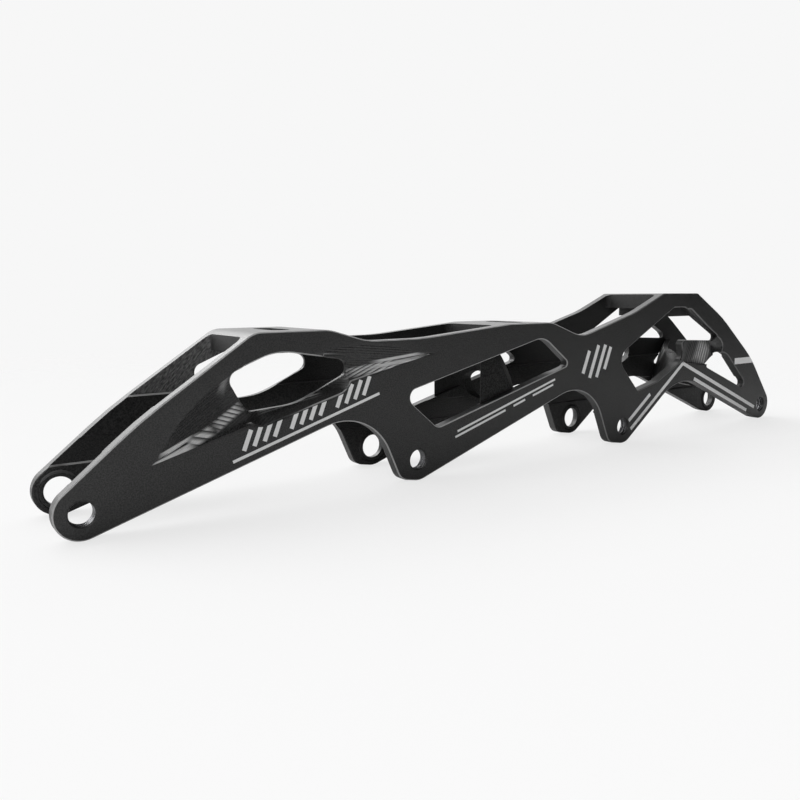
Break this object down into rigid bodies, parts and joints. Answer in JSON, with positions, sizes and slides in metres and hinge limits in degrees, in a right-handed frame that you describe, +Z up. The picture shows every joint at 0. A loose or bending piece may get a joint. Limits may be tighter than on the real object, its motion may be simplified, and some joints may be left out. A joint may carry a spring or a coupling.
{
  "type": "inline skate frame",
  "caption": "One-piece milled aluminium inline speed-skate frame: two windowed side walls joined by mounting plates and ribs, with axle lugs and threaded inserts.",
  "frame": {"origin": "middle of the wheelbase on the centre plane, at the lowest point of the axle lugs", "axes": "+X from toe to heel, +Y from the threaded wall to the plain wall, +Z up to the boot"},
  "size_m": [0.3396, 0.033, 0.0632],
  "materials": {
    "anodised_black": "satin black anodised, milled",
    "insert_steel": "turned steel"
  },
  "bodies": {
    "root": {"frame_body": "anodised_black", "thread_insert_1": "insert_steel", "thread_insert_2": "insert_steel", "thread_insert_3": "insert_steel", "thread_insert_4": "insert_steel"}
  },
  "joints": []
}
